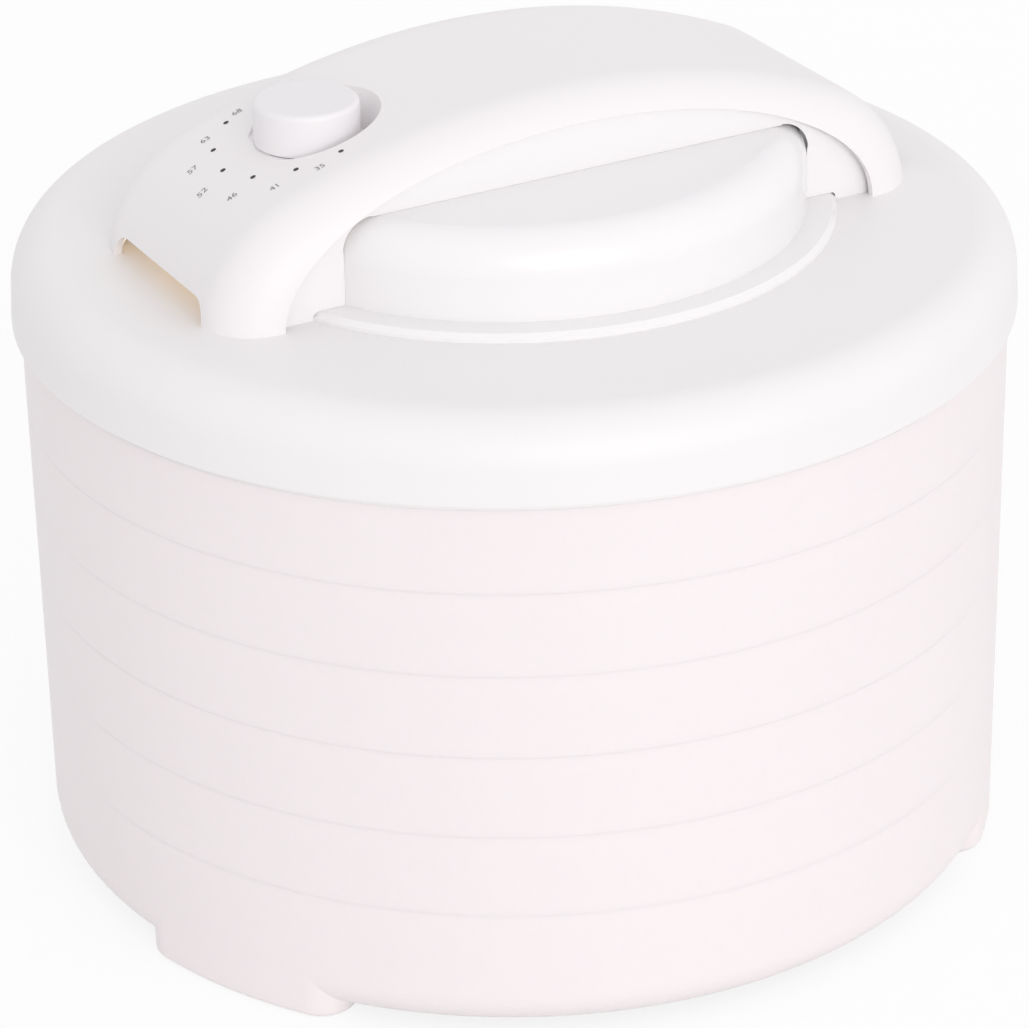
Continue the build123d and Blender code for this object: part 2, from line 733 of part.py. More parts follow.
# Motor coil: wound round the stack's back leg
with BuildPart() as motor_coil:
    with BuildSketch(Plane.YZ):
        with Locations((STACK_BACK - LEG_D / 2, STACK_Z + STACK_H / 2)):
            RectangleRounded(LEG_D + 2 * COIL_BUILD, STACK_H + 2 * COIL_BUILD, COIL_BUILD / 2)
            Rectangle(LEG_D + 2 * COIL_PLAY, STACK_H + 2 * COIL_PLAY, mode=Mode.SUBTRACT)
    extrude(amount=COIL_W / 2, both=True)
keep(motor_coil.part, "motor_coil")

# Bearing brackets: pressed bridges over the bore above and below the stack, each holding a bush
for label, seat, way in (("motor_upper", STACK_Z + STACK_H, 1), ("motor_lower", STACK_Z, -1)):
    bearing = seat + way * (BRACKET_RISE - BRACKET_T / 2)
    with BuildPart() as bracket:
        with BuildSketch(Plane.XZ):
            with BuildLine():
                reach = MOTOR_SCREW_X + BRACKET_FOOT / 2
                knee = MOTOR_SCREW_X - BRACKET_FOOT / 2
                Polyline(
                    (reach, seat),
                    (knee, seat),
                    (knee - BRACKET_T, seat + way * (BRACKET_RISE - BRACKET_T)),
                    (BRACKET_T - knee, seat + way * (BRACKET_RISE - BRACKET_T)),
                    (-knee, seat),
                    (-reach, seat),
                    (-reach, seat + way * BRACKET_T),
                    (-knee - BRACKET_T, seat + way * BRACKET_T),
                    (-knee, seat + way * BRACKET_RISE),
                    (knee, seat + way * BRACKET_RISE),
                    (knee + BRACKET_T, seat + way * BRACKET_T),
                    (reach, seat + way * BRACKET_T),
                    close=True,
                )
            make_face()
        extrude(amount=BRACKET_W / 2, both=True)
        with BuildSketch(Plane.XY.offset(seat)):
            Circle(BEARING_R)
            with Locations(*motor_spots):
                Circle(SCREW_R + SCREW_PLAY)
        extrude(amount=way * 2 * BRACKET_RISE, mode=Mode.SUBTRACT)
    keep(bracket.part, f"{label}_bracket")
    with BuildPart() as bush:
        with BuildSketch(Plane.XY.offset(bearing - BEARING_H / 2)):
            Circle(BEARING_R)
            Circle(SHAFT_R + RUN_FIT, mode=Mode.SUBTRACT)
        extrude(amount=BEARING_H)
    keep(bush.part, f"{label}_bearing")

# Shaft and rotor
nut_z = FAN_Z - NUT_H
shaft_top = STACK_Z + STACK_H + BRACKET_RISE - BRACKET_T / 2 + BEARING_H / 2
with BuildPart() as motor_shaft:
    with BuildSketch(Plane.XY.offset(nut_z - REST)):
        Circle(SHAFT_R)
    extrude(amount=shaft_top - nut_z + REST)
keep(motor_shaft.part, "motor_shaft")

with BuildPart() as motor_rotor:
    with BuildSketch(Plane.XY.offset(STACK_Z)):
        Circle(ROTOR_R)
        Circle(SHAFT_R, mode=Mode.SUBTRACT)
    extrude(amount=STACK_H)
keep(motor_rotor.part, "motor_rotor")

# Fan: a hub with twisted blades that taper in pitch towards their tips
with BuildPart() as fan_impeller:
    with BuildSketch(Plane.XY.offset(FAN_Z)):
        Circle(FAN_HUB_R)
    extrude(amount=FAN_H)
    for blade in range(FAN_BLADES):
        turn = 360 * blade / FAN_BLADES
        stations = ((FAN_HUB_R / 2, ROOT_CHORD, ROOT_PITCH), (FAN_R, TIP_CHORD, TIP_PITCH))
        for radius, chord, pitch in stations:
            spoke = Vector(cos(radians(turn)), sin(radians(turn)), 0)
            across = Vector(-sin(radians(turn)), cos(radians(turn)), 0)
            middle = Vector(0, 0, FAN_Z + FAN_H / 2)
            with BuildSketch(Plane(origin=spoke * radius + middle, x_dir=across, z_dir=spoke)):
                Rectangle(chord, BLADE_T, rotation=pitch)
        loft()
    with BuildSketch(Plane.XY.offset(FAN_Z)):
        Circle(SHAFT_R)
    extrude(amount=FAN_H, mode=Mode.SUBTRACT)
keep(fan_impeller.part, "fan_impeller")

with BuildPart() as fan_nut:
    with BuildSketch(Plane.XY.offset(nut_z)):
        RegularPolygon(NUT_R, 6)
        Circle(SHAFT_R, mode=Mode.SUBTRACT)
    extrude(amount=NUT_H)
keep(fan_nut.part, "fan_nut")

# Heater: a sheathed ring under the fan, its cold pins running out over the plate
with BuildPart() as heater_element:
    with BuildSketch(Plane.XZ):
        with Locations((HEATER_R, HEATER_Z)):
            Circle(HEATER_TUBE_R)
    revolve(axis=Axis.Z, revolution_arc=HEATER_ARC)
    for turn in (0, HEATER_ARC):
        spoke = Vector(cos(radians(turn)), sin(radians(turn)), 0)
        lean = 1 if turn else -1
        across = Vector(-sin(radians(turn)), cos(radians(turn)), 0) * lean
        with BuildSketch(Plane(origin=spoke * HEATER_R + Vector(0, 0, HEATER_Z), z_dir=across)):
            Circle(PIN_R)
        extrude(amount=PIN_L)
keep(heater_element.part, "heater_element")

card_turn = HEATER_ARC / CARD_COUNT / 2
with BuildPart() as heater_supports:
    for card in range(CARD_COUNT):
        turn = card_turn + HEATER_ARC * card / CARD_COUNT
        card_plane = Plane.XZ.rotated((0, 0, turn))
        with BuildSketch(card_plane):
            with BuildLine():
                Polyline(
                    (CARD_OUT, PLATE_TOP),
                    (CARD_OUT, PLATE_TOP + CARD_H),
                    (CARD_IN, PLATE_TOP + CARD_H),
                    (CARD_IN, PLATE_Z + REST),
                    (FAN_MOUTH_R - REST, PLATE_Z + REST),
                    (FAN_MOUTH_R - REST, PLATE_TOP),
                    close=True,
                )
            make_face()
            with Locations((HEATER_R, HEATER_Z)):
                Circle(HEATER_TUBE_R + CARD_PLAY, mode=Mode.SUBTRACT)
        extrude(amount=CARD_T / 2, both=True)
keep(heater_supports.part, "heater_supports")

# Heat shield on the plate, with the thermal cut-out clipped to it
with BuildPart() as heat_shield:
    with BuildSketch(Plane.XY.offset(PLATE_TOP)):
        Circle(SHIELD_OUT)
        Circle(SHIELD_IN, mode=Mode.SUBTRACT)
    extrude(amount=SHIELD_T)
keep(heat_shield.part, "heat_shield")

with BuildPart() as thermal_cutout:
    with BuildSketch(Plane.XY.offset(PLATE_TOP + SHIELD_T)):
        with Locations((0, CUTOUT_AT)):
            Circle(CUTOUT_R)
    extrude(amount=CUTOUT_H)
keep(thermal_cutout.part, "thermal_cutout")

# Fan guard: rings on spokes under the lid's mouth
with BuildPart() as fan_guard:
    with BuildSketch(Plane.XY.offset(PLATE_Z)):
        Circle(GUARD_R)
        Circle(FAN_MOUTH_R - GUARD_BAR, mode=Mode.SUBTRACT)
        Circle(GUARD_HUB_R)
        for ring_r in GUARD_RINGS:
            with BuildSketch(mode=Mode.PRIVATE) as hoop:
                Circle(ring_r + GUARD_BAR / 2)
                Circle(ring_r - GUARD_BAR / 2, mode=Mode.SUBTRACT)
            add(hoop.sketch)
        with PolarLocations(FAN_MOUTH_R / 2, GUARD_SPOKES):
            Rectangle(FAN_MOUTH_R, GUARD_BAR)
        with Locations(*guard_spots):
            Circle(SCREW_R + SCREW_PLAY, mode=Mode.SUBTRACT)
    extrude(amount=-GUARD_T)
keep(fan_guard.part, "fan_guard")

# Screw groups
keep(screw_group(plate_spots, PLATE_Z, 2.5 * PLATE_T), "plate_screws")
keep(screw_group(bridge_spots, LID_UNDER, 3 * LID_WALL), "bridge_screws")
keep(screw_group(strap_spots, STRAP_Z + STRAP_T, STRAP_T + 2 * LID_WALL, -1), "strap_screws")
keep(screw_group(guard_spots, PLATE_Z - GUARD_T, GUARD_T + PLATE_T), "guard_screws")
motor_seat = STACK_Z + STACK_H + BRACKET_T
keep(screw_group(motor_spots, motor_seat, motor_seat - STRAP_Z, -1), "motor_screws")
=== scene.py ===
"""Looks of a round stacking food dehydrator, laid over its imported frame.

Metres, +Z up, the frame's own axes: X runs along the bridge, Y to the back, the table is at zero.
The file follows the object as it is put together, from the base up to the knob, then the set.
"""

from math import cos, pi, radians, sin

import bmesh
import bpy
from mathutils import Matrix, Vector
from mathutils.bvhtree import BVHTree


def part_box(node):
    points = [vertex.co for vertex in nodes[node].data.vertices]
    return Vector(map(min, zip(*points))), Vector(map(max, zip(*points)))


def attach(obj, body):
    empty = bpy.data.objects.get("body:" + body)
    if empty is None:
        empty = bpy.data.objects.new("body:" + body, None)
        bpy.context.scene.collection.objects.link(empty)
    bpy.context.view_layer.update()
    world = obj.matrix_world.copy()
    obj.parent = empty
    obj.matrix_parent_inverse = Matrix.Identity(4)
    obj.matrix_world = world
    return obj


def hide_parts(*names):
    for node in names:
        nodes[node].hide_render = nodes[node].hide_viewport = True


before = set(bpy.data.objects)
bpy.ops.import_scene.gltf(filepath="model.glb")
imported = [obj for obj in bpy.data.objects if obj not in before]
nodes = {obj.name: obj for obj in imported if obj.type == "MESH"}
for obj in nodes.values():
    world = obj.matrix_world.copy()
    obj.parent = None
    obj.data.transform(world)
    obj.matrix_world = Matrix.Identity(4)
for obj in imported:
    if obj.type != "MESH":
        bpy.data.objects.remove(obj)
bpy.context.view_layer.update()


# Base pan: a bowl on three moulded feet that catches drips under the stack.
# Injection moulded in a warm white plastic, satin outside, faintly translucent.
MOULD_TOOTH = 1500
MOULD_DRIFT = 14
MOULD_SWING = 0.12
SPREAD_TINT = (1, 0.75, 0.55)


class Value:
    """A value in a node tree. Arithmetic on it adds math nodes, so a pattern reads as a formula."""

    def __init__(self, tree, socket=None):
        self.tree = tree
        self.socket = socket

    def node(self, kind, inputs, out=0, **settings):
        """Add a node, set or link its inputs, and give back one of its outputs."""
        made = self.tree.nodes.new(kind)
        for key, setting in settings.items():
            setattr(made, key, setting)
        for key, given in inputs.items():
            if isinstance(given, Value):
                self.tree.links.new(given.socket, made.inputs[key])
            elif isinstance(given, list):
                for one in reversed(given):
                    self.tree.links.new(one.socket, made.inputs[key])
            else:
                made.inputs[key].default_value = given
        return Value(self.tree, made.outputs[out])

    def math(self, operation, first, second):
        """Add one math node on two values, either of which may be a plain number."""
        return self.node("ShaderNodeMath", {0: first, 1: second}, operation=operation)

    def __add__(self, other):
        return self.math("ADD", self, other)

    def __sub__(self, other):
        return self.math("SUBTRACT", self, other)

    def __mul__(self, other):
        return self.math("MULTIPLY", self, other)

    def __truediv__(self, other):
        return self.math("DIVIDE", self, other)

    def __rsub__(self, other):
        return self.math("SUBTRACT", other, self)

    __radd__ = __add__
    __rmul__ = __mul__


def noise(place, scale, detail=2.0):
    """Soft random pattern from 0 to 1, with about this many lumps to the metre."""
    return place.node("ShaderNodeTexNoise", {"Vector": place, "Scale": scale, "Detail": detail})


def blank(name):
    """An empty material, and the place on the object as a value in its tree."""
    material = bpy.data.materials.new(name)
    material.use_nodes = True
    tree = material.node_tree
    tree.nodes.clear()
    place = Value(tree).node("ShaderNodeTexCoord", {}, out="Object")
    return material, place


def show(shader):
    """Send a finished shader to its material's output."""
    output = shader.tree.nodes.new("ShaderNodeOutputMaterial")
    shader.tree.links.new(shader.socket, output.inputs["Surface"])


def mixed(place, amount, first, second):
    """Colour that goes from the first to the second as the amount rises from 0 to 1."""
    inputs = {"Factor": amount, 6: (*first, 1), 7: (*second, 1)}
    return place.node("ShaderNodeMix", inputs, out=2, data_type="RGBA")


def bumped(place, height, distance):
    """Normal of a surface raised by the height, 0 to 1, times this distance."""
    return place.node("ShaderNodeBump", {"Height": height, "Distance": distance})


def moulded(name, pale, deep, gloss, depth=0.00002, glow=0.0, reach=0.004):
    """Moulded plastic: colour that drifts a little, with the fine tooth of a satin mould.

    The glow is how much light goes in and spreads, and the reach how far it gets.
    """
    material, place = blank(name)
    tooth = noise(place, MOULD_TOOTH, 3.0)
    drift = noise(place, MOULD_DRIFT)
    inputs = {
        "Base Color": mixed(place, drift, pale, deep),
        "Roughness": gloss + (tooth - 0.5) * MOULD_SWING,
        "Normal": bumped(place, tooth, depth),
    }
    if glow:
        inputs |= {"Subsurface Weight": glow, "Subsurface Scale": reach, "Subsurface Radius": SPREAD_TINT}
    show(place.node("ShaderNodeBsdfPrincipled", inputs))
    return material


def dress(material, slot, *names):
    """Give these pieces of the frame a material. The record's slot that it stands for is not used."""
    for name in names:
        nodes[name].data.materials.clear()
        nodes[name].data.materials.append(material)


ring_plastic = moulded("ring_plastic", (0.9, 0.845, 0.845), (0.885, 0.825, 0.828), 0.42, glow=0.12)
dress(ring_plastic, "ring_plastic", "base_pan")


# Tray rings: five plain hoops, each with a ledge for its grid and a spigot for the ring above.
# Same moulding as the base. Their edges are broken slightly, so that the stack reads as one
# drum with hairline seams, and every other seam shows a little more.
TRAYS = range(1, 6)
RING_R = 0.167
RING_WALL = 0.0026
RING_PITCH = 0.029
RING_EDGE = 0.00003
SPIGOT_OUT = 0.1639
SPIGOT_IN = 0.1617
SPIGOT_RISE = 0.0036
SPIGOT_ROOT = 0.005
LEDGE_IN = 0.157
LEDGE_Z = 0.0039
LEDGE_T = 0.0022
STACK_TOP = 0.193
SEAM_OPEN = 0.000016
SEAM_SHUT = 0.000008
BASE_LAP = 0.00015
TURN_STEPS = 288
CREASE = radians(10)


def spun(name, outline):
    """A closed outline of (radius, height) points turned once about the stack's axis."""
    count = len(outline)
    turns = [2 * pi * i / TURN_STEPS for i in range(TURN_STEPS)]
    points = [(r * cos(turn), r * sin(turn), z) for turn in turns for r, z in outline]
    faces = []
    for i in range(TURN_STEPS):
        here = i * count
        there = (i + 1) % TURN_STEPS * count
        for j in range(count):
            k = (j + 1) % count
            faces.append((here + j, there + j, there + k, here + k))
    mesh = bpy.data.meshes.new(name)
    mesh.from_pydata(points, [], faces)
    shape = bmesh.new()
    shape.from_mesh(mesh)
    bmesh.ops.recalc_face_normals(shape, faces=shape.faces)
    shape.to_mesh(mesh)
    shape.free()
    mesh.shade_smooth()
    mesh.set_sharp_from_angle(angle=CREASE)
    piece = bpy.data.objects.new(name, mesh)
    bpy.context.scene.collection.objects.link(piece)
    return piece


def broken_edge(r, z, way):
    """The ring's outer corner at this height, rounded downwards (1) or upwards (-1) in three steps."""
    bends = [0, 30, 60, 90]
    arc = [(RING_EDGE * (1 - sin(radians(b))), RING_EDGE * (1 - cos(radians(b)))) for b in bends]
    return [(r - inward, z - way * down) for inward, down in arc]


for k in TRAYS:
    bottom = STACK_TOP - RING_PITCH * k
    foot = bottom + (SEAM_OPEN if k % 2 else SEAM_SHUT) / 2
    if k == TRAYS[-1]:
        foot -= BASE_LAP
    shoulder = bottom + RING_PITCH - (SEAM_SHUT if k % 2 else SEAM_OPEN) / 2
    top = bottom + RING_PITCH
    inner = RING_R - RING_WALL
    ledge = bottom + LEDGE_Z
    outline = [
        (inner, foot),
        *broken_edge(RING_R, foot, -1),
        *reversed(broken_edge(RING_R, shoulder, 1)),
        (SPIGOT_OUT, shoulder),
        (SPIGOT_OUT, top + SPIGOT_RISE),
        (SPIGOT_IN, top + SPIGOT_RISE),
        (SPIGOT_IN, top - SPIGOT_ROOT),
        (inner, top - SPIGOT_ROOT - (inner - SPIGOT_IN)),
        (inner, ledge + LEDGE_T),
        (LEDGE_IN, ledge + LEDGE_T),
        (LEDGE_IN, ledge),
        (inner, ledge),
    ]
    ring = spun(f"ring_{k}", outline)
    ring.data.materials.append(ring_plastic)
    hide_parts(f"tray_ring_{k}")
    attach(ring, f"tray_{k}")


# Tray grids: flat discs with bands of tapered slots, laid loose on each ring's ledge.
# The same warm white plastic in a plainer, more matt mould.
grid_plastic = moulded("grid_plastic", (0.86, 0.83, 0.80), (0.83, 0.80, 0.77), 0.5)
dress(grid_plastic, "grid_plastic", *[f"tray_grid_{k}" for k in TRAYS])


# Lid's inner plate and fan guard: they close the power head from below.
# Moulded cool white; the guard is screwed under the fan's mouth.
lid_plastic = moulded("lid_plastic", (0.885, 0.868, 0.868), (0.865, 0.846, 0.846), 0.45)
dress(lid_plastic, "lid_plastic", "lid_inner_plate", "fan_guard")


# Motor and heater hardware hidden in the power head: plated strap, brackets and shaft,
# stamped laminations, a wound coil, bronze bushes, mica cards and a bright shield.
METAL_CLOUD = 60
METAL_SWING = 0.2
METAL_SCRATCH = 0.00001
WIRE_ROUND = 0.3


def metal(name, pale, deep, gloss, streaks):
    """Bare metal with fine streaks that change its shine."""
    material, place = blank(name)
    grain = noise(place, streaks, 4.0)
    cloud = noise(place, METAL_CLOUD)
    inputs = {
        "Base Color": mixed(place, cloud, pale, deep),
        "Metallic": 1.0,
        "Roughness": gloss + (grain - 0.5) * METAL_SWING,
        "Normal": bumped(place, grain, METAL_SCRATCH),
    }
    show(place.node("ShaderNodeBsdfPrincipled", inputs))
    return material


steel = metal("steel", (0.62, 0.62, 0.63), (0.52, 0.52, 0.54), 0.32, 900)
bronze = metal("bronze", (0.62, 0.42, 0.22), (0.5, 0.33, 0.17), 0.4, 700)
shield = metal("shield", (0.8, 0.8, 0.81), (0.7, 0.7, 0.72), 0.22, 400)
grey_plastic = moulded("grey_plastic", (0.11, 0.11, 0.115), (0.085, 0.085, 0.09), 0.5)
mica = moulded("mica", (0.46, 0.37, 0.22), (0.34, 0.27, 0.15), 0.55, depth=0.00006)


def layered(name, pale, deep, gloss, metallic, across, pitch):
    """Stacked sheets or wound wire: fine lines at this pitch along one axis, 0 for X and 2 for Z."""
    material, place = blank(name)
    along = place.node("ShaderNodeSeparateXYZ", {0: place}, out=across)
    line = place.math("PINGPONG", along * (1 / pitch), 0.5) * 2.0
    inputs = {
        "Base Color": mixed(place, line, deep, pale),
        "Metallic": metallic,
        "Roughness": gloss,
        "Normal": bumped(place, line, pitch * WIRE_ROUND),
    }
    show(place.node("ShaderNodeBsdfPrincipled", inputs))
    return material


lamination = layered("lamination", (0.32, 0.32, 0.34), (0.16, 0.16, 0.18), 0.45, 1.0, 2, 0.0005)
copper = layered("copper", (0.62, 0.27, 0.10), (0.36, 0.13, 0.05), 0.3, 0.9, 0, 0.0006)
dress(steel, "steel", "motor_strap", "motor_upper_bracket", "motor_lower_bracket", "motor_shaft", "fan_nut")
dress(steel, "steel", "heater_element", "thermostat_nut", "thermostat_spindle")
dress(lamination, "lamination", "motor_stack", "motor_rotor")
dress(copper, "copper", "motor_coil")
dress(bronze, "bronze", "motor_upper_bearing", "motor_lower_bearing")
dress(mica, "mica", "heater_supports")
dress(shield, "shield", "heat_shield")
dress(grey_plastic, "grey_plastic", "fan_impeller", "terminal_block", "thermostat_body", "thermal_cutout")


# Screws: plated pan heads with a cross recess, in five groups that hold the power head together.
# Each group is one set of like screws, heads down where they go in from below.
SCREW_HEAD_R = 0.0032
SCREW_HEAD_H = 0.002
SCREW_R = 0.0015
SCREW_CROWN = 0.4
RECESS_LONG = 1.1
RECESS_WIDE = 0.26
RECESS_DEEP = 0.9
PLATE_SCREW_R = 0.135
GUARD_SCREW_R = 0.062
BRIDGE_SCREW_X = 0.11002
BRIDGE_SCREW_Y = 0.038
STRAP_SCREW_X = 0.066
MOTOR_SCREW_X = 0.025


def grown(name, sizes, shape):
    """A tree that sets a shape on every point of a mesh. Its named sizes come first, with their values.

    The shape is a function of those sizes as values in the tree, and gives the shape and its turn.
    """
    tree = bpy.data.node_groups.new(name, "GeometryNodeTree")
    tree.interface.new_socket("Spots", in_out="INPUT", socket_type="NodeSocketGeometry")
    for size in sizes:
        tree.interface.new_socket(size, in_out="INPUT", socket_type="NodeSocketFloat")
    tree.interface.new_socket("Finish", in_out="INPUT", socket_type="NodeSocketMaterial")
    tree.interface.new_socket("Pieces", in_out="OUTPUT", socket_type="NodeSocketGeometry")
    spots = Value(tree).node("NodeGroupInput", {}, out="Spots")
    outlets = spots.socket.node.outputs
    piece, turn = shape(spots, *[Value(tree, outlets[size]) for size in sizes])
    inputs = {"Points": spots, "Instance": piece, "Rotation": turn}
    placed = spots.node("GeometryNodeInstanceOnPoints", inputs)
    real = spots.node("GeometryNodeRealizeInstances", {"Geometry": placed})
    inputs = {"Geometry": real, "Material": Value(tree, outlets["Finish"])}
    painted = spots.node("GeometryNodeSetMaterial", inputs)
    output = tree.nodes.new("NodeGroupOutput")
    tree.links.new(painted.socket, output.inputs["Pieces"])
    return tree


def planted(name, tree, spots, sizes, material):
    """Run such a tree on these points and keep the result as a plain mesh."""
    mesh = bpy.data.meshes.new(name)
    mesh.from_pydata(spots, [], [])
    seed = bpy.data.objects.new(name, mesh)
    bpy.context.scene.collection.objects.link(seed)
    modifier = seed.modifiers.new(name, "NODES")
    modifier.node_group = tree
    keys = {item.name: item.identifier for item in tree.interface.items_tree if item.in_out == "INPUT"}
    for size, amount in sizes.items():
        modifier[keys[size]] = amount
    modifier[keys["Finish"]] = material
    graph = bpy.context.evaluated_depsgraph_get()
    made = bpy.data.meshes.new_from_object(seed.evaluated_get(graph))
    seed.modifiers.clear()
    seed.data = made
    return seed


def pan_screw(spots, head_r, head_h, shank_r, shank, over):
    """One pan-head screw standing on its seat, head up, with a crowned head and a cross recess."""
    inputs = {"Vertices": 24, "Fill Segments": 4, "Radius": head_r, "Depth": head_h}
    disc = spots.node("GeometryNodeMeshCylinder", inputs, out="Mesh")
    place = spots.node("GeometryNodeInputPosition", {})
    x = spots.node("ShaderNodeSeparateXYZ", {0: place}, out=0)
    y = Value(spots.tree, x.socket.node.outputs[1])
    z = Value(spots.tree, x.socket.node.outputs[2])
    fall = (x * x + y * y) / (head_r * head_r) * head_h * -SCREW_CROWN
    lowered = spots.node("ShaderNodeCombineXYZ", {"Z": fall})
    crown = {"Geometry": disc, "Selection": z, "Offset": lowered}
    head = spots.node("GeometryNodeSetPosition", crown)
    raised = spots.node("ShaderNodeCombineXYZ", {"Z": head_h * 0.5})
    cuts = []
    for along, across in ((RECESS_LONG, RECESS_WIDE), (RECESS_WIDE, RECESS_LONG)):
        sides = {"X": head_r * along, "Y": head_r * across, "Z": head_h * RECESS_DEEP}
        sides = spots.node("ShaderNodeCombineXYZ", sides)
        bar = spots.node("GeometryNodeMeshCube", {"Size": sides}, out="Mesh")
        cuts.append(spots.node("GeometryNodeTransform", {"Geometry": bar, "Translation": raised}))
    cut = {"Mesh 1": head, "Mesh 2": cuts}
    head = spots.node("GeometryNodeMeshBoolean", cut, out="Mesh", operation="DIFFERENCE", solver="EXACT")
    head = spots.node("GeometryNodeTransform", {"Geometry": head, "Translation": raised})
    shaft = {"Vertices": 16, "Radius": shank_r, "Depth": shank}
    shaft = spots.node("GeometryNodeMeshCylinder", shaft, out="Mesh")
    sunk = spots.node("ShaderNodeCombineXYZ", {"Z": shank * -0.5})
    shaft = spots.node("GeometryNodeTransform", {"Geometry": shaft, "Translation": sunk})
    screw = spots.node("GeometryNodeJoinGeometry", {0: [head, shaft]})
    return screw, spots.node("ShaderNodeCombineXYZ", {"X": over})


screw_sizes = ("Head Radius", "Head Height", "Shank Radius", "Shank Length", "Turn Over")
screw_tree = grown("pan_screws", screw_sizes, pan_screw)


def around(radius, count, start):
    """Places spaced evenly on a circle, the first at this many degrees from the bridge's line."""
    turns = [radians(start) + 2 * pi * i / count for i in range(count)]
    return [(radius * cos(turn), radius * sin(turn)) for turn in turns]


screw_groups = {
    "plate": (around(PLATE_SCREW_R, count=4, start=45), True),
    "guard": (around(GUARD_SCREW_R, count=3, start=30), True),
    "bridge": ([(i * BRIDGE_SCREW_X, j * BRIDGE_SCREW_Y) for i in (-1, 1) for j in (-1, 1)], True),
    "strap": ([(-STRAP_SCREW_X, 0), (STRAP_SCREW_X, 0)], False),
    "motor": ([(-MOTOR_SCREW_X, 0), (MOTOR_SCREW_X, 0)], False),
}
for group, (places, head_down) in screw_groups.items():
    low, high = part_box(f"{group}_screws")
    seat = low[2] + SCREW_HEAD_H if head_down else high[2] - SCREW_HEAD_H
    sizes = {
        "Head Radius": SCREW_HEAD_R,
        "Head Height": SCREW_HEAD_H,
        "Shank Radius": SCREW_R,
        "Shank Length": high[2] - low[2] - SCREW_HEAD_H,
        "Turn Over": pi if head_down else 0.0,
    }
    screws = planted(f"{group}_pan_screws", screw_tree, [(x, y, seat) for x, y in places], sizes, steel)
    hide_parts(f"{group}_screws")
    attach(screws, "power_head")


# Lid cover: a shallow bowl turned over the stack, its rim standing a little proud of the rings.
# Satin white, moulded in one piece, with a thin seat inside the rim that comes down to the top ring
# and shuts the slit between them.
SEAT_OUT = 0.16695
SEAT_IN = 0.1646
SEAT_LOW = 0.19302
SEAT_HIGH = 0.1968
dress(lid_plastic, "lid_plastic", "lid_cover")
seat_outline = [(SEAT_IN, SEAT_LOW), (SEAT_OUT, SEAT_LOW), (SEAT_OUT, SEAT_HIGH), (SEAT_IN, SEAT_HIGH)]
lid_seat = spun("lid_seat", seat_outline)
lid_seat.data.materials.append(lid_plastic)
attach(lid_seat, "power_head")


# Motor dome: a low drum with a bevelled flange, in a glossier white.
# It covers the motor, and the bridge spans it.
dome_plastic = moulded("dome_plastic", (0.895, 0.882, 0.884), (0.88, 0.866, 0.868), 0.22, depth=0.000004)
dress(dome_plastic, "dome_plastic", "motor_dome")


# Bridge panels: thin walls that shut the bridge's two sides round the dome.
# Moulded in the dome's plastic and sprung against it, so that only a fine line shows between them.
DOME_R = 0.0988
DOME_TOP = 0.2535
FLANGE_R = 0.109
FLANGE_TOP = 0.2252
PANEL_GAP = 0.0004
PANEL_LINE = 0.00006
PANEL_SLACK = 0.00002
PANEL_CREASE = radians(30)
WELD = 0.000001


def closed_up(at, faces):
    """A height or radius that stands off one of these faces, brought in until only a line is left."""
    for face in faces:
        if abs(at - face - PANEL_GAP) < PANEL_SLACK:
            return face + PANEL_LINE
    return at


for side in ("front", "rear"):
    shape = bmesh.new()
    shape.from_mesh(nodes[f"bridge_{side}_panel"].data)
    bmesh.ops.remove_doubles(shape, verts=shape.verts, dist=WELD)
    shape.verts.index_update()
    for vertex in shape.verts:
        radius = vertex.co.xy.length
        vertex.co.xy *= closed_up(radius, (DOME_R, FLANGE_R)) / radius
        vertex.co.z = closed_up(vertex.co.z, (DOME_TOP, FLANGE_TOP))
    mesh = bpy.data.meshes.new(f"{side}_panel")
    corners = [[vertex.index for vertex in face.verts] for face in shape.faces]
    mesh.from_pydata([vertex.co for vertex in shape.verts], [], corners)
    shape.free()
    mesh.shade_smooth()
    mesh.set_sharp_from_angle(angle=PANEL_CREASE)
    mesh.materials.append(dome_plastic)
    panel = bpy.data.objects.new(f"{side}_panel", mesh)
    bpy.context.scene.collection.objects.link(panel)
    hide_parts(f"bridge_{side}_panel")
    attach(panel, "power_head")


# Bridge: an arched skin over the dome, screwed up from inside the lid.
# Satin white and thin. In the notch of its left end, a warm glow is painted on its inside as emission,
# standing in for the light that would show through it.
# The cord's soft bush sits in its rear panel.
# Painted glow: a warm emission on the skin's inner faces near the left end, standing in for light through
# the skin.
PAINTED_GLOW_START = -0.092
PAINTED_GLOW_END = -0.128
PAINTED_GLOW_EDGE = 0.0405
PAINTED_GLOW_TILT = -0.15
PAINTED_GLOW_COLOUR = (1.0, 0.78, 0.5)
PAINTED_GLOW_STRENGTH = 0.5


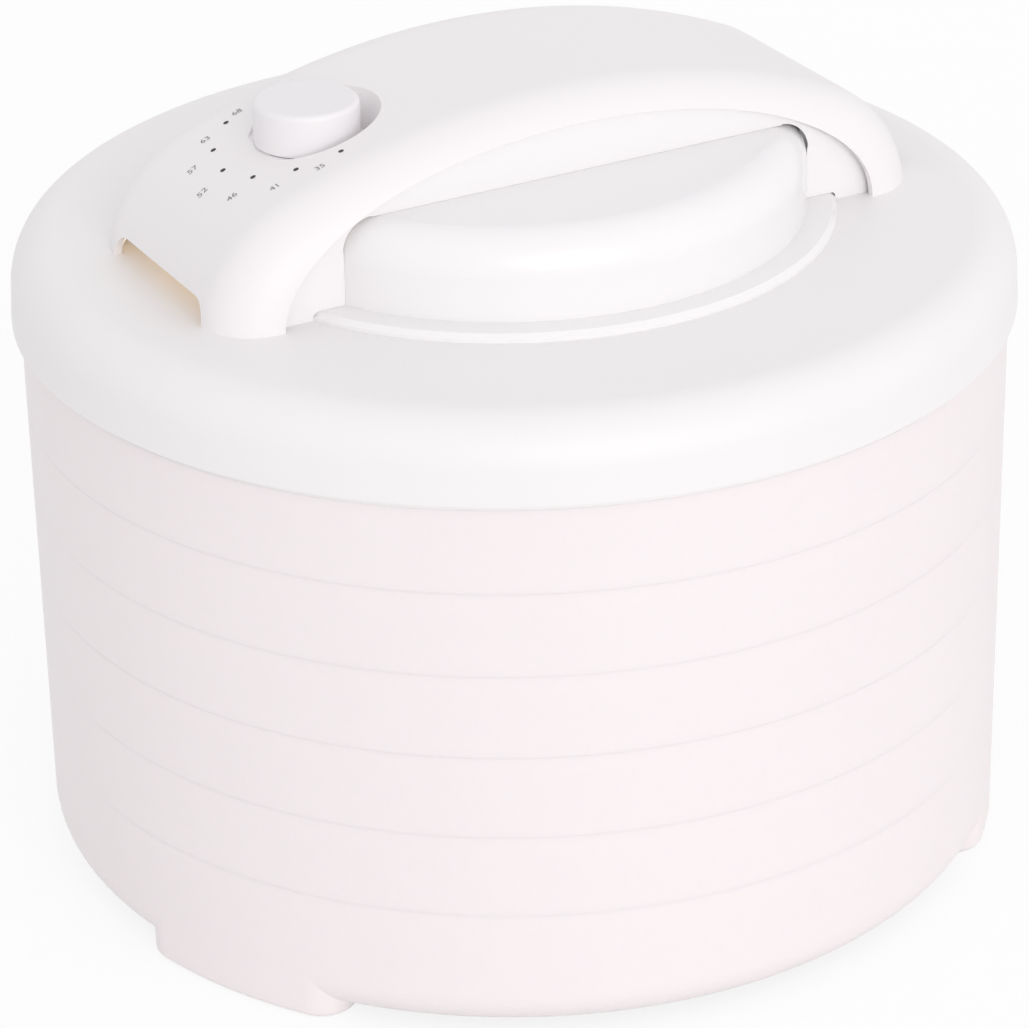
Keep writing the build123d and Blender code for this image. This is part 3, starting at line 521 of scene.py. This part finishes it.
def painted_skin_glow(material):
    """Paint a warm glow as emission on the skin's inside near its lit end, standing in for the light that
    would come through the thin skin.

    The painted glow covers what faces down, from the start to the end along the arch and within the edge
    across it.
    """
    bsdf = material.node_tree.nodes["Principled BSDF"]
    place = Value(material.node_tree).node("ShaderNodeTexCoord", {}, out="Object")
    facing = place.node("ShaderNodeNewGeometry", {}, out="True Normal")
    tilt = place.node("ShaderNodeSeparateXYZ", {0: facing}, out=2)
    along = place.node("ShaderNodeSeparateXYZ", {0: place}, out=0)
    across = place.node("ShaderNodeSeparateXYZ", {0: place}, out=1)
    painted_glow_mask = place.math("LESS_THAN", tilt, PAINTED_GLOW_TILT)
    painted_glow_mask = painted_glow_mask * place.math("LESS_THAN", along, PAINTED_GLOW_START)
    painted_glow_mask = painted_glow_mask * place.math("GREATER_THAN", along, PAINTED_GLOW_END)
    painted_glow_mask = painted_glow_mask * place.math("LESS_THAN", across * across, PAINTED_GLOW_EDGE * PAINTED_GLOW_EDGE)
    # The painted glow: warm emission on the masked inner faces, which are no lamp.
    glow = mixed(place, painted_glow_mask, (0, 0, 0), PAINTED_GLOW_COLOUR)
    place.tree.links.new(glow.socket, bsdf.inputs["Emission Color"])
    bsdf.inputs["Emission Strength"].default_value = PAINTED_GLOW_STRENGTH


bridge_plastic = moulded("bridge_plastic", (0.885, 0.862, 0.868), (0.87, 0.846, 0.85), 0.48)
painted_skin_glow(bridge_plastic)
gland_rubber = moulded("gland_rubber", (0.72, 0.71, 0.70), (0.66, 0.65, 0.64), 0.65)
dress(bridge_plastic, "bridge_plastic", "bridge_shell")
dress(gland_rubber, "gland_rubber", "cord_gland")


# Dial: seven dots around the knob with plain numbers beside them, printed on the bridge.
# Dark ink for the dots and a thinner grey for the numbers, laid on the curved skin.
DIAL_MIDDLE = Vector((-0.075, 0.003))
DIAL_R = 0.0295
DIAL_START = 94.5
DIAL_STEP = 29.0
DIAL_NUMBERS = ("68", "63", "57", "52", "46", "41", "35")
DOT_R = 0.0009
NUMBER_SIZE = 0.0035
NUMBER_AWAY = Vector((-0.0088, -0.0024))
INK_T = 0.00007
PRINT_FROM = 0.5
dot_ink = moulded("dot_ink", (0.03, 0.025, 0.025), (0.02, 0.018, 0.018), 0.5)
number_ink = moulded("number_ink", (0.26, 0.25, 0.25), (0.2, 0.195, 0.195), 0.5)


def dial_dot(spots, radius):
    """One flat round dot, not turned."""
    dot = spots.node("GeometryNodeMeshCircle", {"Vertices": 16, "Radius": radius}, fill_type="TRIANGLE_FAN")
    return dot, spots.node("ShaderNodeCombineXYZ", {})


skin_mesh = nodes["bridge_shell"].data
skin = BVHTree.FromPolygons(
    [vertex.co for vertex in skin_mesh.vertices],
    [face.vertices for face in skin_mesh.polygons],
)


def laid(mesh):
    """Lower a flat print on the bridge's skin, point by point."""
    for vertex in mesh.vertices:
        hit = skin.ray_cast(Vector((vertex.co.x, vertex.co.y, PRINT_FROM)), Vector((0, 0, -1)))[0]
        vertex.co.z = hit.z + INK_T
    mesh.update()


bends = [radians(DIAL_START + DIAL_STEP * i) for i in range(len(DIAL_NUMBERS))]
places = [DIAL_MIDDLE + DIAL_R * Vector((cos(bend), sin(bend))) for bend in bends]
dot_tree = grown("dial_dots", ("Dot Radius",), dial_dot)
dots = planted("dial_dots", dot_tree, [place.to_3d() for place in places], {"Dot Radius": DOT_R}, dot_ink)
laid(dots.data)
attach(dots, "power_head")

numbers_shape = bmesh.new()
for number, place in zip(DIAL_NUMBERS, places):
    words = bpy.data.curves.new("number", "FONT")
    words.body = number
    words.size = NUMBER_SIZE
    words.align_x = "CENTER"
    words.align_y = "CENTER"
    drawn = bpy.data.objects.new("number", words)
    flat = bpy.data.meshes.new_from_object(drawn)
    flat.transform(Matrix.Translation((place + NUMBER_AWAY).to_3d()))
    numbers_shape.from_mesh(flat)
    bpy.data.objects.remove(drawn)
    bpy.data.meshes.remove(flat)
numbers_mesh = bpy.data.meshes.new("dial_numbers")
numbers_shape.to_mesh(numbers_mesh)
numbers_shape.free()
numbers_mesh.materials.append(number_ink)
laid(numbers_mesh)
numbers = bpy.data.objects.new("dial_numbers", numbers_mesh)
bpy.context.scene.collection.objects.link(numbers)
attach(numbers, "power_head")


# Control knob: a plain cap pressed on the thermostat's spindle, which it turns.
# Moulded in satin white, a shade greyer than the bridge whose recess it sits in.
knob_plastic = moulded("knob_plastic", (0.86, 0.838, 0.85), (0.845, 0.822, 0.834), 0.42)
dress(knob_plastic, "knob_plastic", "control_knob")


# Set: a pale floor that runs out to the background, an even sky and one low frontal lamp.
# The floor and the sky are white where the camera sees them, and light the object less than that.
FLOOR_REACH = 9
FLOOR_COLOUR = (0.86, 0.86, 0.86, 1)
PAPER_GLOW = 0.8
WHITE = (1, 1, 1, 1)
floor_corners = [(FLOOR_REACH * i, FLOOR_REACH * j, 0) for i, j in ((-1, -1), (1, -1), (1, 1), (-1, 1))]
floor_mesh = bpy.data.meshes.new("floor")
floor_mesh.from_pydata(floor_corners, [], [(0, 1, 2, 3)])
floor = bpy.data.objects.new("floor", floor_mesh)
bpy.context.scene.collection.objects.link(floor)
floor_paper, place = blank("floor_paper")
matt = place.node("ShaderNodeBsdfDiffuse", {"Color": FLOOR_COLOUR})
white = place.node("ShaderNodeBsdfDiffuse", {"Color": WHITE})
bright = place.node("ShaderNodeEmission", {"Color": WHITE, "Strength": 1.0})
paper = place.node("ShaderNodeMixShader", {0: PAPER_GLOW, 1: white, 2: bright})


def looked_at(place):
    """1 for what the camera, a shine or glass shows of the set, 0 for what only lights the object."""
    ray = place.node("ShaderNodeLightPath", {}, out="Is Camera Ray")
    glossy = Value(ray.tree, ray.socket.node.outputs["Is Glossy Ray"])
    through = Value(ray.tree, ray.socket.node.outputs["Is Transmission Ray"])
    return ray.math("MINIMUM", ray + glossy + through, 1.0)


show(place.node("ShaderNodeMixShader", {0: looked_at(place), 1: matt, 2: paper}))
floor_mesh.materials.append(floor_paper)

CAMERA_AZIMUTH = radians(-27.87)
CAMERA_ELEVATION = radians(26.522)
CAMERA_ROLL = -0.0217
CAMERA_AT = Vector((-0.60775, -1.13595, 0.756))
CAMERA_SENSOR = 36
CAMERA_LENS = 144.63
CAMERA_SHIFT = (0.0134, -0.0126)


def towards(side, height):
    """Direction from the object to what stands this far round its front, to the right, and this high."""
    return Vector((sin(side) * cos(height), -cos(side) * cos(height), sin(height)))


back = towards(CAMERA_AZIMUTH, CAMERA_ELEVATION)
level = Vector((cos(CAMERA_AZIMUTH), sin(CAMERA_AZIMUTH), 0))
upward = back.cross(level)
right = level * cos(CAMERA_ROLL) + upward * sin(CAMERA_ROLL)
camera_data = bpy.data.cameras.new("camera")
camera_data.sensor_width = CAMERA_SENSOR
camera_data.lens = CAMERA_LENS
camera_data.shift_x, camera_data.shift_y = CAMERA_SHIFT
camera = bpy.data.objects.new("camera", camera_data)
turn = Matrix((right, back.cross(right), back)).transposed().to_4x4()
camera.matrix_world = Matrix.Translation(CAMERA_AT) @ turn
bpy.context.scene.collection.objects.link(camera)
bpy.context.scene.camera = camera

SKY_COLOUR = (0.99, 0.985, 1.0, 1)
SKY_STRENGTH = 0.9
SKY_FALL = 0.12
world = bpy.data.worlds.new("sky")
world.use_nodes = True
sky = world.node_tree.nodes["Background"]
sky.inputs["Color"].default_value = SKY_COLOUR
direction = Value(world.node_tree).node("ShaderNodeTexCoord", {}, out="Generated")
leftward = {0: direction, 1: -level}
leftward = direction.node("ShaderNodeVectorMath", leftward, out="Value", operation="DOT_PRODUCT")
dim = SKY_STRENGTH - direction.math("MAXIMUM", leftward, 0.0) * SKY_FALL
strength = dim + looked_at(direction) * (1 - dim)
world.node_tree.links.new(strength.socket, sky.inputs["Strength"])
bpy.context.scene.world = world

LAMP_SIDE = radians(20)
LAMP_HEIGHT = radians(15)
LAMP_STRENGTH = 0.88
LAMP_SPREAD = radians(40)
LAMP_COLOUR = (1.0, 0.98, 0.975)
lamp_data = bpy.data.lights.new("lamp", "SUN")
lamp_data.energy = LAMP_STRENGTH
lamp_data.angle = LAMP_SPREAD
lamp_data.color = LAMP_COLOUR
lamp = bpy.data.objects.new("lamp", lamp_data)
lamp_from = towards(CAMERA_AZIMUTH + LAMP_SIDE, LAMP_HEIGHT)
lamp.rotation_euler = lamp_from.to_track_quat("Z", "Y").to_euler()
bpy.context.scene.collection.objects.link(lamp)
bpy.context.scene.view_settings.view_transform = "Standard"
